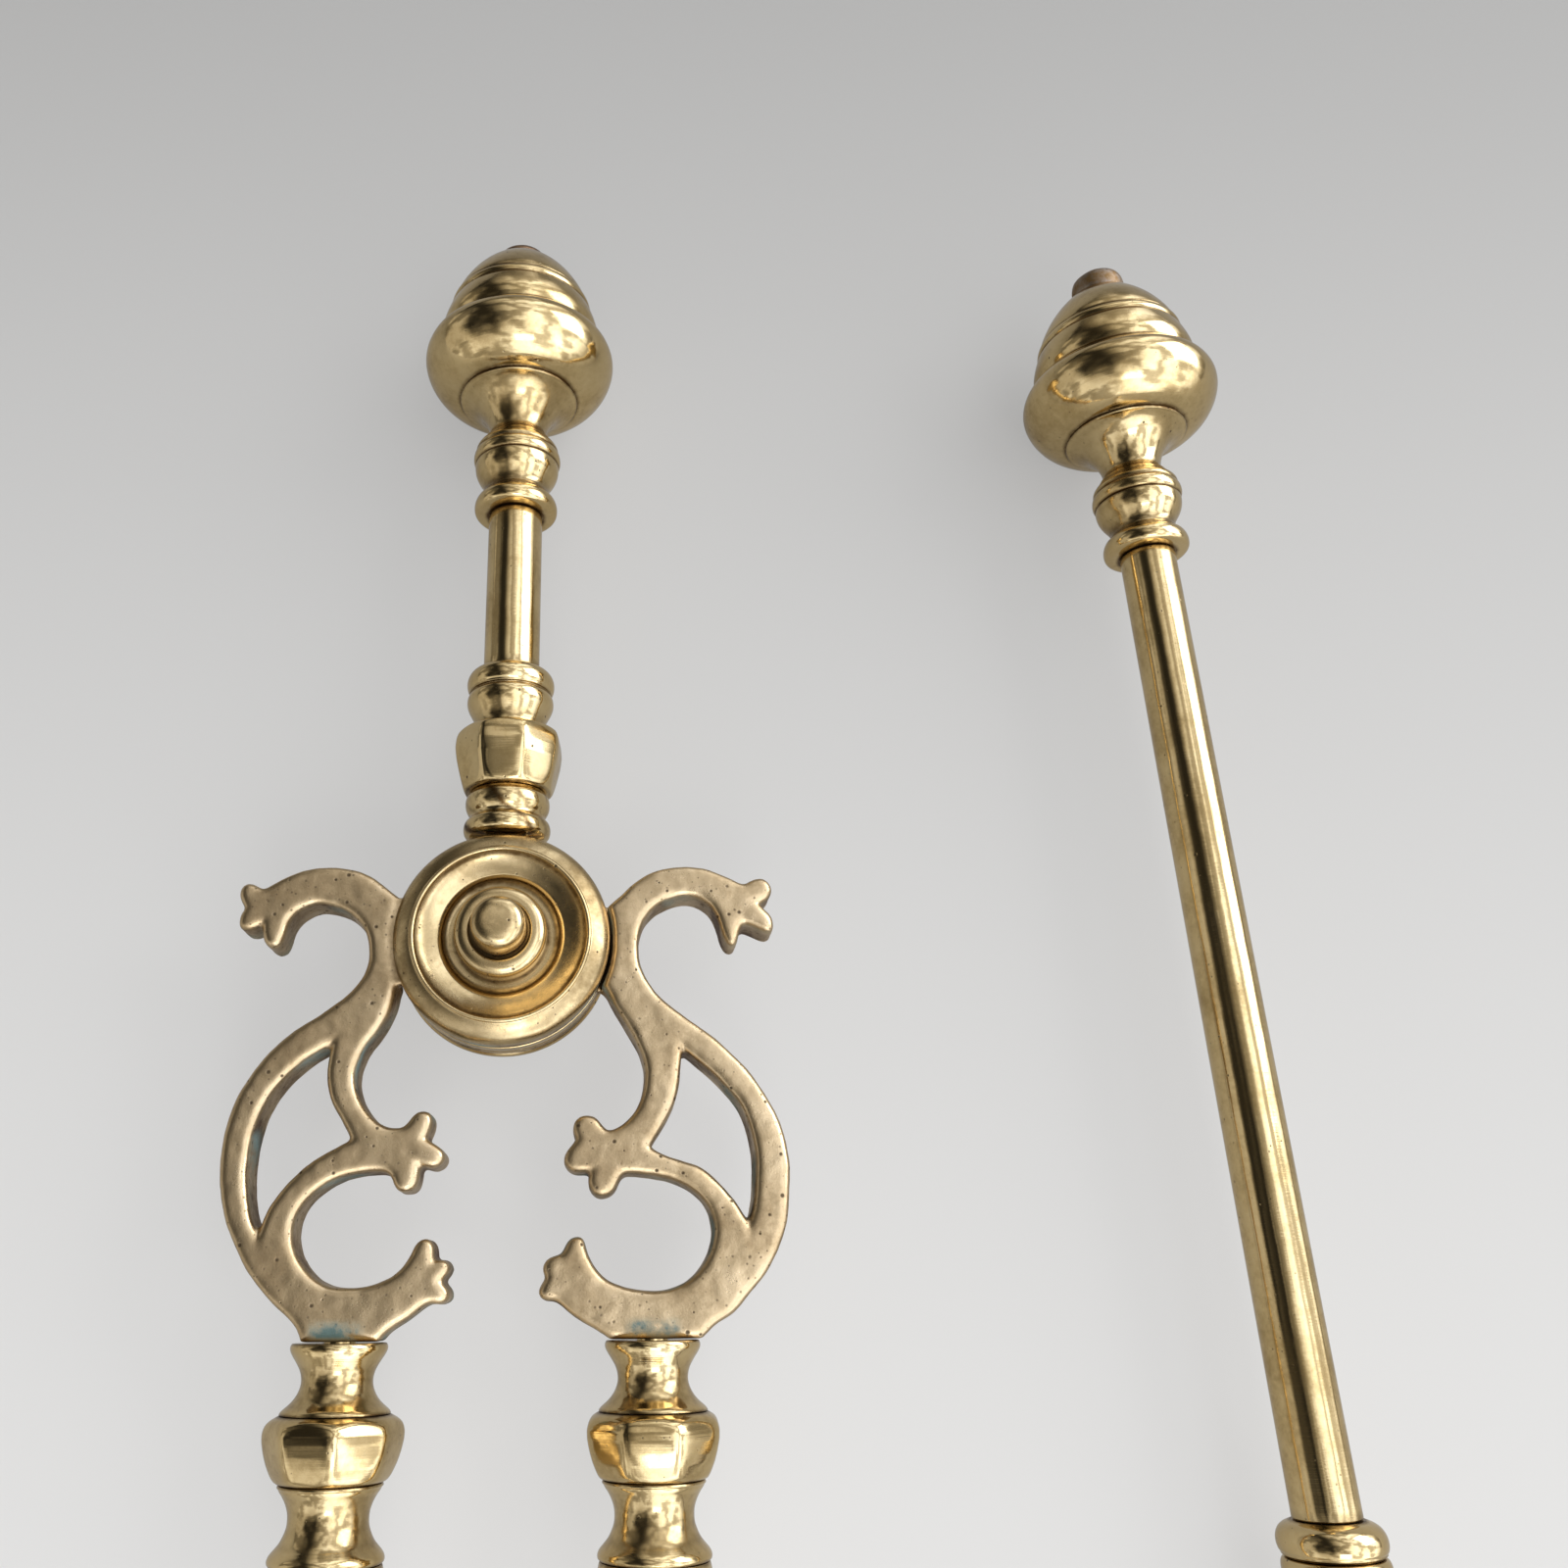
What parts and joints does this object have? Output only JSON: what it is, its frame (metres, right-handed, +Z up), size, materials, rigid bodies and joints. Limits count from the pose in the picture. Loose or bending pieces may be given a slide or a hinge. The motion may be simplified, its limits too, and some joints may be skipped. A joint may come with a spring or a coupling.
{
  "type": "fireplace tool set",
  "caption": "Brass fire tongs with scroll arms on a round pivot boss, and a long-handled poker with a matching beehive finial, laid side by side.",
  "frame": {"origin": "centre of the base of the bounding box, on the surface the irons lie on", "axes": "+X from the tongs to the poker, +Y along the tongs towards the finials, +Z up from the surface"},
  "size_m": [0.2046, 0.6656, 0.0404],
  "materials": {
    "polished_brass": "polished, worn, dark patina in the grooves",
    "cast_brass": "satin casting with small pits",
    "iron_core": "browned iron rod, riveted end",
    "steel_shaft": "worn bright steel shaft"
  },
  "bodies": {
    "tongs": {"tongs_tang": "iron_core", "tongs_finial_bulb": "polished_brass", "tongs_finial_neck": "polished_brass", "tongs_handle_tube": "polished_brass", "tongs_handle_ring": "polished_brass", "tongs_handle_vase": "polished_brass", "tongs_handle_octagon": "polished_brass", "tongs_boss_neck": "polished_brass", "boss_front_cap": "polished_brass", "boss_rear_cap": "polished_brass", "pivot_collar": "polished_brass", "pivot_pin": "polished_brass"},
    "left_leg": {"left_arm": "cast_brass", "left_socket_vase": "polished_brass", "left_leg_octagon": "polished_brass", "left_leg_vase": "polished_brass", "left_leg_knop": "polished_brass", "left_leg_rod": "polished_brass", "left_grip_pad": "polished_brass"},
    "right_leg": {"right_arm": "cast_brass", "right_socket_vase": "polished_brass", "right_leg_octagon": "polished_brass", "right_leg_vase": "polished_brass", "right_leg_knop": "polished_brass", "right_leg_rod": "polished_brass", "right_grip_pad": "polished_brass"},
    "poker": {"poker_shaft": "steel_shaft", "poker_finial_bulb": "polished_brass", "poker_finial_neck": "polished_brass", "poker_handle_tube": "polished_brass", "poker_lower_ring": "polished_brass", "poker_lower_vase": "polished_brass", "poker_lower_octagon": "polished_brass", "poker_lower_collar": "polished_brass"}
  },
  "joints": [
    {"name": "left_leg_pivot", "type": "hinge", "parent": "tongs", "child": "left_leg", "pos_m": [-0.05428, 0.17346, 0.02021], "axis": [0, 0, -1], "range_deg": [0, 15]},
    {"name": "right_leg_pivot", "type": "hinge", "parent": "tongs", "child": "right_leg", "pos_m": [-0.05428, 0.17346, 0.02021], "axis": [0, 0, 1], "range_deg": [0, 15]},
    {"name": "poker_lift", "type": "slide", "parent": "tongs", "child": "poker", "axis": [0, 0, 1], "range_m": [-0.001, 0.3]}
  ]
}
